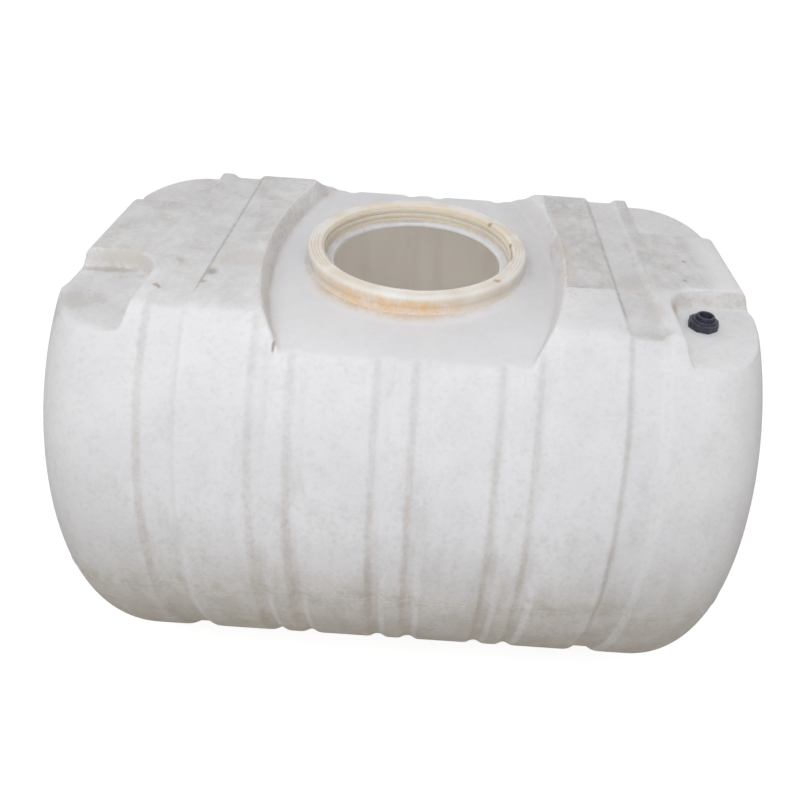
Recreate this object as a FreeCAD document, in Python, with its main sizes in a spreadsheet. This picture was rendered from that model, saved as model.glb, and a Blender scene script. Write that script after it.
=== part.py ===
"""A one-piece moulded polyethylene water tank on a flat base, with its manhole ring and its inlet fitting.

Millimetres, +Z up. The length runs along X and the front is at -Y. The origin is at the middle of the base.
The moulding is a round barrel with dished ends, flattened to a deck on top and to a base below. Two wide
strap channels and three pairs of narrow grooves run round it. The deck has a recess for the manhole and a
step at each corner. An outer and an inner solid are made from the same sizes, and their difference, the
wall, is cut into panels.
"""
import FreeCAD
import Part
import math
import os
import Sketcher

Vec = FreeCAD.Vector
doc = FreeCAD.newDocument("water_tank")

# Driving dimensions
sheet = doc.addObject("Spreadsheet::Sheet", "Sizes")
sizes = {
    "overall_length": 1421,
    "barrel_radius": 537,
    "deck_width": 604,
    "base_width": 504,
    "wall": 7,
    "knuckle_radius": 140,
    "crown_radius": 1850,
    "fold_radius": 18,
    "rib_pitch": 214,
    "groove_spacing": 66.5,
    "groove_width": 32,
    "groove_floor_width": 18,
    "groove_depth": 7,
    "channel_x": 420,
    "channel_width": 70,
    "channel_floor_width": 56,
    "channel_depth": 9,
    "recess_width": 600,
    "recess_side_radius": 980,
    "recess_depth": 48,
    "recess_draft": 15,
    "step_depth": 35,
    "step_inner_x": 482,
    "tongue_width": 240,
    "step_corner_radius": 70,
    "step_draft": 11,
    "hatch_radius": 176,
    "neck_rise": 14,
    "neck_clearance": 0.5,
    "ring_bore_radius": 191,
    "ring_seat_radius": 195,
    "ring_outer_radius": 225,
    "ring_height": 46,
    "ring_edge_radius": 8,
    "ring_mouth_chamfer": 4,
    "inlet_from_step": 64,
    "inlet_from_riser": 81,
    "shank_radius": 17.5,
    "shank_clearance": 0.5,
    "shank_bore_radius": 10,
    "socket_bore_radius": 12.55,
    "socket_depth": 19,
    "socket_radius": 17,
    "socket_height": 23,
    "nut_across_flats": 55,
    "nut_thickness": 12,
    "nut_collar_radius": 22.5,
    "nut_collar_height": 4,
    "gasket_radius": 26,
    "gasket_thickness": 3,
    "inner_flange_radius": 28,
    "inner_flange_thickness": 8,
    "fold_margin": 25,
    "floor_split": 240,
    "strip_height": 257,
    "end_panel_radius": 372,
}
levels = {
    "axis_height": "=sqrt(barrel_radius * barrel_radius - base_width * base_width / 4)",
    "deck_rise": "=sqrt(barrel_radius * barrel_radius - deck_width * deck_width / 4)",
    "deck_height": "=axis_height + deck_rise",
}
for row, (alias, content) in enumerate({**sizes, **levels}.items(), start=1):
    sheet.set(f"A{row}", alias)
    sheet.set(f"B{row}", str(content))
    sheet.setAlias(f"B{row}", alias)
doc.recompute()


def size(alias):
    return f"Sizes.{alias}"


def total(expression):
    """The number that an expression on the sheet comes to."""
    return float(sheet.evalExpression(expression))


# Lengths that follow from the driving dimensions, as expressions on the sheet
zero = "0"
half_length = f"({size('overall_length')} / 2)"
head_span = f"({size('crown_radius')} - {size('knuckle_radius')})"
head_reach = f"({size('barrel_radius')} - {size('knuckle_radius')})"
head_along = f"sqrt({head_span} * {head_span} - {head_reach} * {head_reach})"
crown_centre = f"({half_length} - {size('crown_radius')})"
tangent = f"({crown_centre} + {head_along})"
deck_split = f"({size('deck_width')} / 2 - {size('fold_margin')})"
base_split = f"({size('base_width')} / 2 - {size('fold_margin')})"
recess_floor = f"({size('deck_height')} - {size('recess_depth')})"
step_floor = f"({size('deck_height')} - {size('step_depth')})"
reach = f"({size('overall_length')} + {size('deck_height')})"
half_pair = f"{size('groove_spacing')} / 2"
groove_places = [f"({k} * {size('rib_pitch')} {sign} {half_pair})" for k in (-1, 0, 1) for sign in "-+"]
channel_places = [f"({sign}{size('channel_x')})" for sign in ("-", "")]
inlet_x = f"({size('step_inner_x')} + {size('inlet_from_step')})"
inlet_y = f"(0 - {size('tongue_width')} / 2 - {size('inlet_from_riser')})"


# Drawing helpers
def plane(body, role):
    return next(feature for feature in body.Origin.OriginFeatures if feature.Role == role)


def new_sketch(body, name, role, offset=zero):
    sketch = body.newObject("Sketcher::SketchObject", name)
    sketch.AttachmentSupport = [(plane(body, role), "")]
    sketch.MapMode = "FlatFace"
    if offset != zero:
        sketch.setExpression("AttachmentOffset.Base.z", offset)
    return sketch


def fix_point(sketch, geometry, end, x, y):
    """Ties a point to the sketch's origin by two expressions."""
    for kind, axis, expression in (("DistanceX", -2, x), ("DistanceY", -1, y)):
        if expression == zero:
            sketch.addConstraint(Sketcher.Constraint("PointOnObject", geometry, end, axis))
        else:
            tie = Sketcher.Constraint(kind, -1, 1, geometry, end, total(expression))
            sketch.setExpression(f"Constraints[{sketch.addConstraint(tie)}]", expression)


def outline(sketch, points, arcs=None):
    """Adds a closed outline through points, given as pairs of expressions. The arcs are keyed by the point
    that they leave and hold their radius. Each bulges to the right of its way."""
    arcs = arcs or {}
    places = [Vec(total(x), total(y), 0) for x, y in points]
    count = len(points)
    ends = []
    for i, start in enumerate(places):
        stop = places[(i + 1) % count]
        if i in arcs:
            half = (stop - start) * 0.5
            right = Vec(half.y, -half.x, 0).normalize()
            radius = total(arcs[i])
            sagitta = radius - math.sqrt(max(radius ** 2 - half.Length ** 2, 0.0))
            piece = sketch.addGeometry(Part.Arc(start, start + half + right * sagitta, stop))
            tie = sketch.addConstraint(Sketcher.Constraint("Radius", piece, radius))
            sketch.setExpression(f"Constraints[{tie}]", arcs[i])
        else:
            piece = sketch.addGeometry(Part.LineSegment(start, stop))
        ends.append(piece)
    for i, piece in enumerate(ends):
        sketch.addConstraint(Sketcher.Constraint("Coincident", piece, 2, ends[(i + 1) % count], 1))
        fix_point(sketch, piece, 1, *points[i])


def rectangle(sketch, left, right, low, high):
    outline(sketch, [(left, low), (right, low), (right, high), (left, high)])


def cut_across(body, name, sketch):
    """A pocket through the whole body, both ways from the sketch."""
    pocket = body.newObject("PartDesign::Pocket", name)
    pocket.Profile = sketch
    pocket.Type = "ThroughAll"
    pocket.Midplane = True
    return pocket


def box(name, x, y, z):
    """A box between pairs of expressions."""
    solid = doc.addObject("Part::Box", name)
    for side, axis, (low, high) in (("Length", "x", x), ("Width", "y", y), ("Height", "z", z)):
        solid.setExpression(side, f"({high}) - ({low})")
        solid.setExpression(f"Placement.Base.{axis}", low)
    return solid


def boolean(kind, name, base, tool):
    result = doc.addObject(f"Part::{kind}", name)
    result.Base = base
    result.Tool = tool
    return result


def groove_outline(sketch, middle, surface, sign, kind, inset):
    """A groove's section: sloping sides, a flat floor, and a mouth that stands clear of the surface."""
    depth = size(f"{kind}_depth")
    slope = f"(({size(f'{kind}_width')} - {size(f'{kind}_floor_width')}) / 2)"
    spread = f"({inset} * (sqrt({slope} * {slope} + {depth} * {depth}) - {slope}) / {depth})"
    top = f"({size(f'{kind}_width')} / 2 + {spread})"
    low = f"({size(f'{kind}_floor_width')} / 2 + {spread})"
    floor = f"({surface} - {sign} * {depth})"
    mouth = f"({surface} + {sign} * 10 * {depth})"
    side = [(f"{middle} - {top}", mouth), (f"{middle} - {top}", surface), (f"{middle} - {low}", floor)]
    other = [(f"{middle} + {low}", floor), (f"{middle} + {top}", surface), (f"{middle} + {top}", mouth)]
    outline(sketch, side + other if sign > 0 else (side + other)[::-1])


def moulding(name, inset):
    """The tank's form, set in from its outer face by an expression."""
    body = doc.addObject("PartDesign::Body", name)
    body.setExpression("Placement.Base.z", size("axis_height"))
    radius = f"({size('barrel_radius')} - {inset})"
    deck = f"({size('deck_rise')} - {inset})"
    base = f"({inset} - {size('axis_height')})"
    pole = f"({half_length} - {inset})"
    crown = f"({size('crown_radius')} - {inset})"
    knuckle = f"({size('knuckle_radius')} - {inset})"
    joint_x = f"({crown_centre} + {crown} * {head_along} / {head_span})"
    joint_r = f"({crown} * {head_reach} / {head_span})"

    # Barrel and dished ends
    section = new_sketch(body, f"{name}_section", "XZ_Plane")
    outline(section, [(pole, zero), (joint_x, joint_r), (tangent, radius),
                      (f"-{tangent}", radius), (f"-{joint_x}", joint_r), (f"-{pole}", zero)],
            {0: crown, 1: knuckle, 3: knuckle, 4: crown})
    barrel = body.newObject("PartDesign::Revolution", f"{name}_barrel")
    barrel.Profile = section
    barrel.ReferenceAxis = (section, ["H_Axis"])
    barrel.Angle = 360

    # Flat deck and base
    flats = new_sketch(body, f"{name}_flats_sketch", "YZ_Plane")
    rectangle(flats, f"-{reach}", reach, deck, reach)
    rectangle(flats, f"-{reach}", reach, f"-{reach}", base)
    flat = cut_across(body, f"{name}_flats", flats)
    doc.recompute()

    # Rounded folds round the deck and the base
    flat_levels = (total(deck), total(base))
    edges = []
    for number, edge in enumerate(flat.Shape.Edges, start=1):
        bounds = edge.BoundBox
        if any(abs(bounds.ZMin - z) < 1e-4 and abs(bounds.ZMax - z) < 1e-4 for z in flat_levels):
            edges.append(f"Edge{number}")
    folds = body.newObject("PartDesign::Fillet", f"{name}_folds")
    folds.Base = (flat, edges)
    folds.setExpression("Radius", f"{size('fold_radius')} - {inset}")

    # Grooves and strap channels round the barrel, and on over the deck and the base
    rings = new_sketch(body, f"{name}_rings_sketch", "XZ_Plane")
    across = new_sketch(body, f"{name}_across_sketch", "XZ_Plane")
    for places, kind in ((groove_places, "groove"), (channel_places, "channel")):
        for place in places:
            groove_outline(rings, place, radius, 1, kind, inset)
            groove_outline(across, place, base, -1, kind, inset)
    for place in channel_places:
        groove_outline(across, place, deck, 1, "channel", inset)
    ring = body.newObject("PartDesign::Groove", f"{name}_rings")
    ring.Profile = rings
    ring.ReferenceAxis = (rings, ["H_Axis"])
    ring.Angle = 360
    cut_across(body, f"{name}_across", across)

    # Steps at the deck's corners, with sloping walls, cut upwards from their floors
    floor = f"({deck} - {size('step_depth')})"
    steps = new_sketch(body, f"{name}_steps_sketch", "XY_Plane", floor)
    step_slope = f"({size('step_draft')} / {size('step_depth')})"
    shift = f"({size('step_draft')} + {inset} * ({step_slope} - sqrt(1 + {step_slope} * {step_slope})))"
    inner = f"({size('step_inner_x')} + {shift})"
    riser = f"({size('tongue_width')} / 2 + {shift})"
    round_off = f"({size('step_corner_radius')} - {shift})"
    for x in ("", "-"):
        for y in ("", "-"):
            far_x, far_y = f"{x}{reach}", f"{y}{reach}"
            side_x, side_y = f"{x}{inner}", f"{y}{riser}"
            points = [(far_x, side_y), (far_x, far_y), (side_x, far_y),
                      (side_x, f"{y}({riser} + {round_off})"), (f"{x}({inner} + {round_off})", side_y)]
            if x == y:
                outline(steps, points, {3: round_off})
            else:
                outline(steps, points[::-1], {0: round_off})
    step = body.newObject("PartDesign::Pocket", f"{name}_steps")
    step.Profile = steps
    step.Type = "Length"
    step.setExpression("Length", f"2 * {size('step_depth')}")
    step.setExpression("TaperAngle", f"atan({step_slope})")
    step.Reversed = True
    body.Tip = step

    # Recess for the manhole: two cones meet, so both its long sides bow outwards and slope
    slope = f"({size('recess_draft')} / {size('recess_depth')})"
    middle = f"({size('recess_side_radius')} - {size('recess_width')} / 2)"
    spread = f"({inset} * (sqrt(1 + {slope} * {slope}) - {slope}))"
    low = f"({size('recess_side_radius')} - {size('recess_draft')} + {spread})"
    cones = []
    for side, sign in (("left", ""), ("right", "-")):
        cone = doc.addObject("Part::Cone", f"{name}_recess_{side}")
        cone.setExpression("Radius1", low)
        cone.setExpression("Radius2", f"{low} + {slope} * {size('barrel_radius')}")
        cone.setExpression("Height", size("barrel_radius"))
        cone.setExpression("Placement.Base.x", f"{sign}{middle}")
        cone.setExpression("Placement.Base.z", f"{recess_floor} - {inset}")
        cones.append(cone)
    recess = boolean("Common", f"{name}_recess", *cones)
    return boolean("Cut", f"{name}_form", body, recess)


# The moulding's wall, with a raised neck, and the hatch and the inlet hole through it
shell = boolean("Cut", "shell", moulding("outer", zero), moulding("inner", size("wall")))
neck_boss = doc.addObject("Part::Cylinder", "neck_boss")
neck_boss.setExpression("Radius", f"{size('ring_seat_radius')} - {size('neck_clearance')}")
neck_boss.setExpression("Height", f"{size('neck_rise')} + {size('wall')} / 2")
neck_boss.setExpression("Placement.Base.z", f"{recess_floor} - {size('wall')} / 2")
necked = boolean("Fuse", "necked_shell", shell, neck_boss)
hatch = doc.addObject("Part::Cylinder", "hatch_hole")
hatch.setExpression("Radius", size("hatch_radius"))
hatch.setExpression("Height", size("barrel_radius"))
hatch.setExpression("Placement.Base.z", size("axis_height"))
inlet_hole = doc.addObject("Part::Cylinder", "inlet_hole")
inlet_hole.setExpression("Radius", f"{size('shank_radius')} + {size('shank_clearance')}")
inlet_hole.setExpression("Height", f"2 * {size('wall')}")
inlet_hole.setExpression("Placement.Base.x", inlet_x)
inlet_hole.setExpression("Placement.Base.y", inlet_y)
inlet_hole.setExpression("Placement.Base.z", f"{step_floor} - 1.5 * {size('wall')}")
holes = boolean("Fuse", "holes", hatch, inlet_hole)
skin = boolean("Cut", "skin", necked, holes)

# Panels of the moulding, each cut out by a box
nodes = []


def panel(name, x, y, z, outside=None):
    region = box(f"{name}_region", x, y, z)
    if outside is not None:
        region = boolean("Cut", f"{name}_trimmed", region, outside)
    node = boolean("Common", name, skin, region)
    node.Label = name
    nodes.append(node)


barrel_x = (f"-{tangent}", tangent)
fronts = {"front": (f"-{reach}", f"-{deck_split}"), "rear": (deck_split, reach)}
lower_fronts = {"front": (f"-{reach}", f"-{base_split}"), "rear": (base_split, reach)}
parting = size("axis_height")
upper = (parting, reach)
lower = (f"-{reach}", parting)
high_line = f"({parting} + {size('strip_height')})"
low_line = f"({parting} - {size('strip_height')})"
for side in ("front", "rear"):
    panel(f"{side}_shoulder", barrel_x, fronts[side], (high_line, reach))
    panel(f"{side}_wall_upper", barrel_x, fronts[side], (parting, high_line))
    panel(f"{side}_wall_lower", barrel_x, lower_fronts[side], (low_line, parting))
    panel(f"{side}_haunch", barrel_x, lower_fronts[side], (f"-{reach}", low_line))
deck_y = (f"-{deck_split}", deck_split)
base_y = (f"-{base_split}", base_split)
panel("base_panel", barrel_x, base_y, lower)
panel("left_deck", (f"-{tangent}", f"-{size('floor_split')}"), deck_y, upper)
panel("right_deck", (size("floor_split"), tangent), deck_y, upper)
floor_x = (f"-{size('floor_split')}", size("floor_split"))
panel("manhole_floor_front", floor_x, (f"-{deck_split}", zero), upper)
panel("manhole_floor_rear", floor_x, (zero, deck_split), upper)

# Dished ends: a round panel and the knuckle round it
core = doc.addObject("Part::Cylinder", "end_core")
core.setExpression("Radius", size("end_panel_radius"))
core.setExpression("Height", f"2 * {reach}")
core.Placement.Rotation = FreeCAD.Rotation(Vec(0, 1, 0), 90)
core.setExpression("Placement.Base.x", f"-{reach}")
core.setExpression("Placement.Base.z", size("axis_height"))
for side, end_x in (("left", (f"-{reach}", f"-{tangent}")), ("right", (tangent, reach))):
    region = box(f"{side}_end_region", end_x, (f"-{reach}", reach), (f"-{reach}", reach))
    round_region = boolean("Common", f"{side}_end_round", region, core)
    end = boolean("Common", f"{side}_end_panel", skin, round_region)
    end.Label = f"{side}_end_panel"
    nodes.append(end)
    panel(f"{side}_end_top", end_x, deck_y, upper, core)
    panel(f"{side}_end_base", end_x, base_y, lower, core)
    for face in ("front", "rear"):
        panel(f"{side}_{face}_upper_corner", end_x, fronts[face], upper, core)
        panel(f"{side}_{face}_lower_corner", end_x, lower_fronts[face], lower, core)


def turned(name, points, z, x=zero, y=zero):
    """A body turned about an upright axis from a section of (radius, height) pairs."""
    body = doc.addObject("PartDesign::Body", name)
    body.Label = name
    section = new_sketch(body, f"{name}_section", "XZ_Plane")
    outline(section, points)
    turn = body.newObject("PartDesign::Revolution", f"{name}_turn")
    turn.Profile = section
    turn.ReferenceAxis = (section, ["V_Axis"])
    turn.Angle = 360
    for axis, place in (("x", x), ("y", y), ("z", z)):
        if place != zero:
            body.setExpression(f"Placement.Base.{axis}", place)
    nodes.append(body)
    return body, turn


# Manhole ring: rounded outside, with a chamfered mouth and a seat round the neck
bore = size("ring_bore_radius")
ring_seat = size("ring_seat_radius")
on_neck = size("neck_rise")
rim = size("ring_outer_radius")
top = size("ring_height")
ring_section = [(ring_seat, zero), (rim, zero), (rim, top), (bore, top), (bore, on_neck), (ring_seat, on_neck)]
ring_body, ring_turn = turned("manhole_ring", ring_section, recess_floor)
doc.recompute()


def circle_edge(feature, radius, height):
    """The name of a turned feature's edge at a radius and a height in its body."""
    for number, edge in enumerate(feature.Shape.Edges, start=1):
        round_edge = isinstance(edge.Curve, Part.Circle) and abs(edge.Curve.Radius - radius) < 1e-4
        if round_edge and abs(edge.Curve.Center.z - height) < 1e-4:
            return f"Edge{number}"


lip = ring_body.newObject("PartDesign::Fillet", "manhole_ring_lip")
lip.Base = (ring_turn, [circle_edge(ring_turn, total(rim), total(top))])
lip.setExpression("Radius", size("ring_edge_radius"))
doc.recompute()
mouth = ring_body.newObject("PartDesign::Chamfer", "manhole_ring_mouth")
mouth.Base = (lip, [circle_edge(lip, total(bore), total(top))])
mouth.setExpression("Size", size("ring_mouth_chamfer"))
ring_body.Tip = mouth

# Inlet fitting: a body with its flange inside the tank, a gasket under the wall and an eight-sided nut above
under = f"(0 - {size('wall')} - {size('gasket_thickness')})"
flange_low = f"({under} - {size('inner_flange_thickness')})"
shank = size("shank_radius")
flange = size("inner_flange_radius")
tube = size("shank_bore_radius")
socket = size("socket_bore_radius")
neck = size("socket_radius")
socket_top = size("socket_height")
socket_low = f"({socket_top} - {size('socket_depth')})"
nut_top = f"({size('nut_thickness')} + {size('nut_collar_height')})"
inlet_at = {"z": step_floor, "x": inlet_x, "y": inlet_y}
turned("inlet_body", [(tube, flange_low), (flange, flange_low), (flange, under), (shank, under),
                      (shank, nut_top), (neck, nut_top), (neck, socket_top), (socket, socket_top),
                      (socket, socket_low), (tube, socket_low)], **inlet_at)
seat = f"(0 - {size('wall')})"
rubber = size("gasket_radius")
turned("inlet_gasket", [(shank, under), (rubber, under), (rubber, seat), (shank, seat)], **inlet_at)

nut = doc.addObject("PartDesign::Body", "inlet_nut")
nut.Label = "inlet_nut"
eight = new_sketch(nut, "inlet_nut_eight_sides", "XY_Plane")
corner = f"({size('nut_across_flats')} / 2 * tan(22.5 deg))"
flat_side = f"({size('nut_across_flats')} / 2)"
outline(eight, [(flat_side, f"-{corner}"), (flat_side, corner), (corner, flat_side),
                (f"-{corner}", flat_side), (f"-{flat_side}", corner), (f"-{flat_side}", f"-{corner}"),
                (f"-{corner}", f"-{flat_side}"), (corner, f"-{flat_side}")])
block = nut.newObject("PartDesign::Pad", "inlet_nut_block")
block.Profile = eight
block.setExpression("Length", size("nut_thickness"))


def circle_sketch(name, radius):
    sketch = new_sketch(nut, name, "XY_Plane")
    circle = sketch.addGeometry(Part.Circle(Vec(0, 0, 0), Vec(0, 0, 1), total(radius)))
    sketch.addConstraint(Sketcher.Constraint("Coincident", circle, 3, -1, 1))
    tie = sketch.addConstraint(Sketcher.Constraint("Radius", circle, total(radius)))
    sketch.setExpression(f"Constraints[{tie}]", radius)
    return sketch


collar_sketch = circle_sketch("inlet_nut_collar_sketch", size("nut_collar_radius"))
collar = nut.newObject("PartDesign::Pad", "inlet_nut_collar")
collar.Profile = collar_sketch
collar.setExpression("Length", nut_top)
thread_sketch = circle_sketch("inlet_nut_thread_sketch", shank)
thread = nut.newObject("PartDesign::Pocket", "inlet_nut_thread")
thread.Profile = thread_sketch
thread.Type = "ThroughAll"
thread.Reversed = True
for axis, place in inlet_at.items():
    nut.setExpression(f"Placement.Base.{axis}", place)
nodes.append(nut)

# Everything is checked before any file is written
doc.recompute()
for item in doc.Objects:
    if any(mark in item.State for mark in ("Invalid", "Error")):
        raise RuntimeError(f"{item.Name} failed: {item.State}")
for node in nodes:
    if node.Shape.isNull() or not node.Shape.isValid() or len(node.Shape.Solids) != 1:
        raise RuntimeError(f"{node.Label}: {len(node.Shape.Solids)} solids, valid {node.Shape.isValid()}")
os.makedirs("parts", exist_ok=True)
for node in nodes:
    node.Shape.exportStep(f"parts/{node.Label}.step")
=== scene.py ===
import bpy
import math
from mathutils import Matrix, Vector


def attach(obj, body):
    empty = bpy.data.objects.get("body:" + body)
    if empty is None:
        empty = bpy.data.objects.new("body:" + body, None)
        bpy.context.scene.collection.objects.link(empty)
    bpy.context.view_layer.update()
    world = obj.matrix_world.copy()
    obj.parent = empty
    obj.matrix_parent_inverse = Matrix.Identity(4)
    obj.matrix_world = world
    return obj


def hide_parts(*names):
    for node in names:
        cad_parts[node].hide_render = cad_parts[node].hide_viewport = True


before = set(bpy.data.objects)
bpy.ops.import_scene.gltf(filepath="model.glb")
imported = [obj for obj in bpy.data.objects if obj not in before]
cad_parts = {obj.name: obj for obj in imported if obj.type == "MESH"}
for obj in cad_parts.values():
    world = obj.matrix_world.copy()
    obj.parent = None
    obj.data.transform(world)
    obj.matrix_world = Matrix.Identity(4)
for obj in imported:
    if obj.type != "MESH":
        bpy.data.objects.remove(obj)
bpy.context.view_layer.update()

scene = bpy.context.scene
scene.view_settings.view_transform = "Standard"


# small helpers for modelling
weld = 0.00001  # points closer than this become one


def deselectAll():
    if bpy.context.object and bpy.context.object.mode != "OBJECT":
        bpy.ops.object.mode_set(mode="OBJECT")
    bpy.ops.object.select_all(action="DESELECT")


def activate(piece):
    deselectAll()
    piece.select_set(True)
    bpy.context.view_layer.objects.active = piece


def editAll(piece):  # edit mode, the whole mesh selected
    activate(piece)
    bpy.ops.object.mode_set(mode="EDIT")
    bpy.ops.mesh.select_all(action="SELECT")


def objectMode():
    bpy.ops.object.mode_set(mode="OBJECT")


def named(name):  # the primitive just added, with its place in the mesh
    piece = bpy.context.object
    piece.name = name
    piece.data.name = name
    bpy.ops.object.transform_apply(location=True, rotation=True, scale=True)
    return piece


def copyOf(piece, name):
    activate(piece)
    bpy.ops.object.duplicate()
    twin = bpy.context.object
    twin.name = name
    twin.data.name = name
    return twin


def finishModifier(piece, kind, **settings):
    activate(piece)
    modifier = piece.modifiers.new(kind.title(), kind)
    for key, value in settings.items():
        setattr(modifier, key, value)
    bpy.ops.object.modifier_apply(modifier=modifier.name)


def carve(piece, cutter, operation="DIFFERENCE"):
    finishModifier(piece, "BOOLEAN", object=cutter, operation=operation, solver="MANIFOLD")
    bpy.data.objects.remove(cutter)


def selectEdges(piece, test):  # edges picked by where their ends lie
    activate(piece)
    bpy.ops.object.mode_set(mode="EDIT")
    bpy.ops.mesh.select_mode(type="EDGE")
    bpy.ops.mesh.select_all(action="DESELECT")
    objectMode()
    mesh = piece.data
    for edge in mesh.edges:
        a, b = (mesh.vertices[i].co for i in edge.vertices)
        edge.select = test(a, b)
    bpy.ops.object.mode_set(mode="EDIT")


def traced(name, points):  # one vertex, extruded from point to point
    deselectAll()
    bpy.ops.mesh.primitive_plane_add(size=0.01)
    piece = named(name)
    editAll(piece)
    bpy.ops.mesh.select_mode(type="VERT")
    bpy.ops.mesh.merge(type="CENTER")
    bpy.ops.transform.translate(value=points[0])
    for a, b in zip(points, points[1:]):
        bpy.ops.mesh.extrude_region_move(TRANSFORM_OT_translate={"value": Vector(b) - Vector(a)})
    bpy.ops.mesh.select_all(action="SELECT")
    return piece


def spun(piece, centre, axis, steps, merge=0.0002):
    bpy.ops.mesh.remove_doubles(threshold=weld)
    bpy.ops.mesh.spin(steps=steps, angle=2 * math.pi, center=centre, axis=axis)
    bpy.ops.mesh.select_all(action="SELECT")
    bpy.ops.mesh.remove_doubles(threshold=merge)
    bpy.ops.mesh.normals_make_consistent(inside=False)
    objectMode()
    return piece


def turnedUpright(name, profile, place=(0, 0), steps=160):  # closed profile of radius and height pairs
    x, y = place
    ring = [(x + r, y, z) for r, z in profile + profile[:1]]
    return spun(traced(name, ring), (x, y, 0), (0, 0, 1), steps, merge=2 * weld)


def drawnOut(name, points, *reaches):  # closed outline filled and extruded, once for each reach
    piece = traced(name, points + points[:1])
    bpy.ops.mesh.remove_doubles(threshold=weld)
    bpy.ops.mesh.edge_face_add()
    for reach in reaches:
        bpy.ops.mesh.extrude_region_move(TRANSFORM_OT_translate={"value": reach})
    bpy.ops.mesh.select_all(action="SELECT")
    bpy.ops.mesh.normals_make_consistent(inside=False)
    objectMode()
    return piece


def cylinder(name, radius, low, high, place=(0, 0), sides=160, turn=0):
    deselectAll()
    bpy.ops.mesh.primitive_cylinder_add(vertices=sides, radius=radius, depth=high - low,
                                        location=(*place, (low + high) / 2), rotation=(0, 0, turn))
    return named(name)


def smoothShaded(piece, angle=None):
    activate(piece)
    if angle is None:
        bpy.ops.object.shade_smooth()
    else:
        bpy.ops.object.shade_smooth_by_angle(angle=math.radians(angle))


def quarterTurn(count):  # angles from 0 to 90 degrees
    return [math.pi / 2 * i / count for i in range(count + 1)]


def triangleCount(piece):
    return sum(len(face.vertices) - 2 for face in piece.data.polygons)


# tank moulding: a spun barrel, cut flat for the deck and the base
tank = {
    "length": 1.421, "radius": 0.537, "deckWidth": 0.604, "baseWidth": 0.504,
    "knuckle": 0.140, "crown": 1.850, "wall": 0.007, "crownSteps": 10, "knuckleSteps": 14,
    "foldWidth": 0.009, "foldSegments": 4, "flatMerge": 0.0008, "turnSteps": 144,
    "voxel": 0.0040, "smoothSteps": 5, "triangles": 150000, "insideVoxel": 0.008, "insideTriangles": 34000,
}
axisHeight = math.sqrt(tank["radius"] ** 2 - (tank["baseWidth"] / 2) ** 2)
deckHeight = axisHeight + math.sqrt(tank["radius"] ** 2 - (tank["deckWidth"] / 2) ** 2)
crownCentre = tank["length"] / 2 - tank["crown"]
headSpan = tank["crown"] - tank["knuckle"]
headReach = tank["radius"] - tank["knuckle"]
headAngle = math.asin(headReach / headSpan)
tangentX = crownCentre + headSpan * math.cos(headAngle)


def barrelProfile():
    half = []
    for i in range(tank["crownSteps"] + 1):  # crown, from the pole outwards
        a = headAngle * i / tank["crownSteps"]
        half.append((crownCentre + tank["crown"] * math.cos(a), tank["crown"] * math.sin(a)))
    for i in range(1, tank["knuckleSteps"] + 1):  # knuckle
        a = headAngle + (math.pi / 2 - headAngle) * i / tank["knuckleSteps"]
        half.append((tangentX + tank["knuckle"] * math.cos(a), headReach + tank["knuckle"] * math.sin(a)))
    whole = half + [(-x, r) for x, r in reversed(half)]
    return [(x, -r, axisHeight) for x, r in whole]


skin = traced("tankSkin", barrelProfile())
spun(skin, (0, 0, axisHeight), (1, 0, 0), tank["turnSteps"])
editAll(skin)
for height, side in ((deckHeight, 1), (0, -1)):
    bpy.ops.mesh.select_all(action="SELECT")
    bpy.ops.mesh.bisect(plane_co=(0, 0, height), plane_no=(0, 0, side), use_fill=True, clear_outer=True)
bpy.ops.mesh.select_all(action="SELECT")
bpy.ops.mesh.remove_doubles(threshold=tank["flatMerge"])
bpy.ops.mesh.normals_make_consistent(inside=False)


def onFlat(a, b):
    near = 0.0001
    return any(abs(a.z - h) < near and abs(b.z - h) < near for h in (0, deckHeight))


selectEdges(skin, onFlat)
bpy.ops.mesh.bevel(offset=tank["foldWidth"], segments=tank["foldSegments"], affect="EDGES")
objectMode()
print("barrel turned", triangleCount(skin), [round(v, 3) for v in skin.dimensions])

# grooves and strap channels, cut round the barrel and across the flats
grooves = {"centres": (-0.24725, -0.18075, -0.03325, 0.03325, 0.18075, 0.24725),
           "mouth": 0.037, "floor": 0.013, "depth": 0.007}
channels = {"centres": (-0.420, 0.420), "mouth": 0.070, "floor": 0.056, "depth": 0.009}
cutPast = 0.08  # how far a cutter stands out of the surface
barReach = 0.6  # half the length of a bar across a flat


def bandSection(band, x, surface, outward):  # trapezoid, open side away from the tank
    m, f = band["mouth"] / 2, band["floor"] / 2
    low, clear = surface - outward * band["depth"], surface + outward * cutPast
    return [(x - m, clear), (x - m, surface), (x - f, low), (x + f, low), (x + m, surface), (x + m, clear)]


for band in (grooves, channels):
    for x in band["centres"]:
        hoop = bandSection(band, x, tank["radius"], 1)
        cutter = traced("hoopCutter", [(px, -r, axisHeight) for px, r in hoop + hoop[:1]])
        spun(cutter, (0, 0, axisHeight), (1, 0, 0), tank["turnSteps"])
        carve(skin, cutter)
        flats = [(0, -1)] if band is grooves else [(0, -1), (deckHeight, 1)]
        for height, outward in flats:
            bar = [(px, -barReach, z) for px, z in bandSection(band, x, height, outward)]
            carve(skin, drawnOut("barCutter", bar, (0, 2 * barReach, 0)))
print("grooves cut", triangleCount(skin))

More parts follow.
